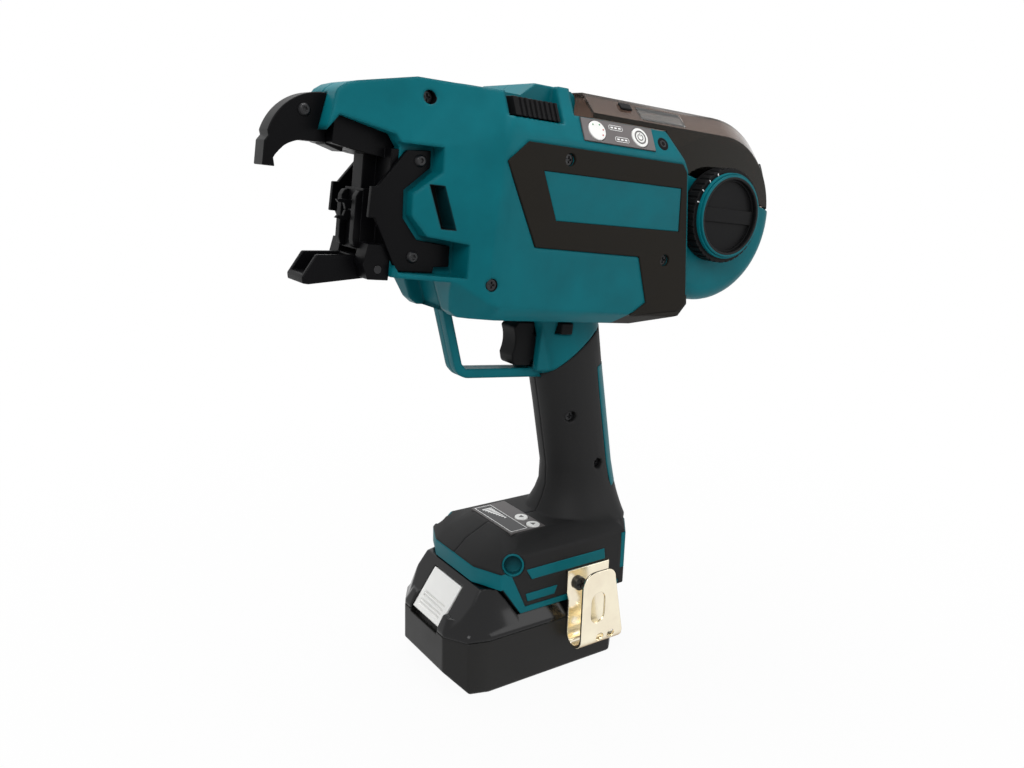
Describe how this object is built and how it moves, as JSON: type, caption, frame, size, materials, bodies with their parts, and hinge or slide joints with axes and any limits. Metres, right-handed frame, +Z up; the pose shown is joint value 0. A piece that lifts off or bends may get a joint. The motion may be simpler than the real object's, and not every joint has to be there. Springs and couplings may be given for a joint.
{
  "type": "rebar tying tool",
  "caption": "Battery rebar tying tool: pistol grip, open jaw with a curved upper arm and a hinged lower arm, wire reel under a smoked cover, slide battery as its base.",
  "frame": {"origin": "middle of the flat base of the battery, on the floor", "axes": "+X from the nose to the rear, +Y from the pictured left side to the right, +Z up"},
  "size_m": [0.3192, 0.0969, 0.3292],
  "materials": {
    "teal": "fine moulded texture",
    "grip_black": "soft matt",
    "panel_grey": "soft matt",
    "steel": "machined",
    "jaw_black": "satin black",
    "screws": "black oxide",
    "brass": "drawn",
    "cast": "cast",
    "board": "matt",
    "keypad_grey": "printed foil",
    "white": "smooth",
    "nickel": "warm nickel plating",
    "black_plastic": "fine texture",
    "reel_red": "smooth",
    "smoked": "smoked clear",
    "clear": "clear",
    "battery_gloss": "glossy",
    "cells": "sleeved"
  },
  "bodies": {
    "body": {"left_housing": "teal", "right_housing": "teal", "left_side_panel": "panel_grey", "right_side_panel": "panel_grey", "left_nameplate": "teal", "right_nameplate": "teal", "left_grip": "grip_black", "right_grip": "grip_black", "foot_band": "teal", "trim_inlays": "teal", "reel_case": "teal", "reel_spindle": "steel", "jaw_frame": "jaw_black", "upper_arm": "jaw_black", "wire_guides": "jaw_black", "left_cheek_plate": "jaw_black", "right_cheek_plate": "jaw_black", "jaw_screws": "screws", "housing_screws": "screws", "wire_tube": "brass", "gear_case": "cast", "twist_motor": "cast", "feed_motor": "cast", "control_board": "board", "trigger_switch": "board", "terminal_block": "board", "keypad": "keypad_grey", "display_panel": "keypad_grey", "belt_hook": "nickel", "cover_hinge_pin": "steel", "lower_arm_pin": "steel", "lever_pin": "steel"},
    "trigger": {"trigger": "black_plastic"},
    "trigger_lock": {"trigger_lock": "black_plastic"},
    "mode_button": {"mode_button": "white"},
    "power_button": {"power_button": "white"},
    "down_button": {"down_button": "white"},
    "up_button": {"up_button": "white"},
    "knob": {"reel_knob": "black_plastic", "knob_ring": "teal"},
    "reel": {"wire_reel": "reel_red", "wire_core": "steel", "wire_winding": "steel"},
    "cover": {"reel_cover": "smoked", "cover_lip": "black_plastic", "cover_window": "clear", "cover_catch": "black_plastic"},
    "lower_arm": {"lower_arm": "jaw_black"},
    "feed_gear": {"feed_gear": "steel"},
    "pressure_gear": {"pressure_gear": "steel"},
    "lever": {"release_lever": "black_plastic"},
    "twister": {"twister_shaft": "steel", "twister_hooks": "jaw_black"},
    "cutter": {"cutter_blade": "steel"},
    "battery": {"battery_case": "black_plastic", "battery_top": "battery_gloss", "battery_cells": "cells"},
    "battery_button": {"battery_button": "white"}
  },
  "joints": [
    {"name": "trigger_pull", "type": "slide", "parent": "body", "child": "trigger", "axis": [0.9951, 0, -0.0993], "range_m": [0, 0.006], "stiffness_N_per_m": 700, "springref_m": -0.003},
    {"name": "lock_slide", "type": "slide", "parent": "body", "child": "trigger_lock", "axis": [0, 1, 0], "range_m": [-0.003, 0.003]},
    {"name": "mode_press", "type": "slide", "parent": "body", "child": "mode_button", "axis": [-0.0482, 0.8746, -0.4824], "range_m": [0, 0.0008], "stiffness_N_per_m": 1200, "springref_m": -0.0006},
    {"name": "power_press", "type": "slide", "parent": "body", "child": "power_button", "axis": [-0.0482, 0.8746, -0.4824], "range_m": [0, 0.0008], "stiffness_N_per_m": 1200, "springref_m": -0.0006},
    {"name": "down_press", "type": "slide", "parent": "body", "child": "down_button", "axis": [0, 0, -1], "range_m": [0, 0.0008], "stiffness_N_per_m": 1200, "springref_m": -0.0006},
    {"name": "up_press", "type": "slide", "parent": "body", "child": "up_button", "axis": [0, 0, -1], "range_m": [0, 0.0008], "stiffness_N_per_m": 1200, "springref_m": -0.0006},
    {"name": "knob_turn", "type": "hinge", "parent": "body", "child": "knob", "pos_m": [0.11715, -0.04, 0.26154], "axis": [0, 1, 0], "range_deg": [0, 90]},
    {"name": "reel_spin", "type": "hinge", "parent": "body", "child": "reel", "pos_m": [0.11715, 0, 0.26154], "axis": [0, 1, 0], "continuous": true},
    {"name": "cover_lift", "type": "hinge", "parent": "body", "child": "cover", "pos_m": [0.01759, 0, 0.32122], "axis": [0, -1, 0], "range_deg": [0, 95]},
    {"name": "lower_arm_swing", "type": "hinge", "parent": "body", "child": "lower_arm", "pos_m": [-0.09414, 0, 0.23891], "axis": [0, -1, 0], "range_deg": [0, 25], "stiffness_Nm_per_rad": 0.25, "springref_deg": -22.92},
    {"name": "feed_spin", "type": "hinge", "parent": "body", "child": "feed_gear", "pos_m": [0.00451, 0.01025, 0.30092], "axis": [0.0993, 0, 0.9951], "continuous": true},
    {"name": "lever_swing", "type": "hinge", "parent": "body", "child": "lever", "pos_m": [-0.01341, -0.015, 0.31276], "axis": [-0.0993, 0, -0.9951], "range_deg": [0, 8], "stiffness_Nm_per_rad": 0.6, "springref_deg": -14.32},
    {"name": "pressure_spin", "type": "hinge", "parent": "lever", "child": "pressure_gear", "pos_m": [0.00451, -0.01025, 0.30092], "axis": [0.0993, 0, 0.9951], "continuous": true},
    {"name": "twister_spin", "type": "hinge", "parent": "body", "child": "twister", "pos_m": [-0.09748, 0, 0.26588], "axis": [0.9951, 0, -0.0993], "continuous": true},
    {"name": "cutter_slide", "type": "slide", "parent": "body", "child": "cutter", "axis": [0.0993, 0, 0.9951], "range_m": [0, 0.0035], "stiffness_N_per_m": 300, "springref_m": -0.002},
    {"name": "battery_slide", "type": "slide", "parent": "body", "child": "battery", "axis": [-1, 0, 0], "range_m": [0, 0.085]},
    {"name": "battery_button_press", "type": "slide", "parent": "battery", "child": "battery_button", "axis": [-0.5698, 0, -0.8218], "range_m": [0, 0.0033], "stiffness_N_per_m": 600, "springref_m": -0.003}
  ],
  "couplings": [
    {"joint": "pressure_spin", "follows": "feed_spin", "ratio": -1}
  ]
}
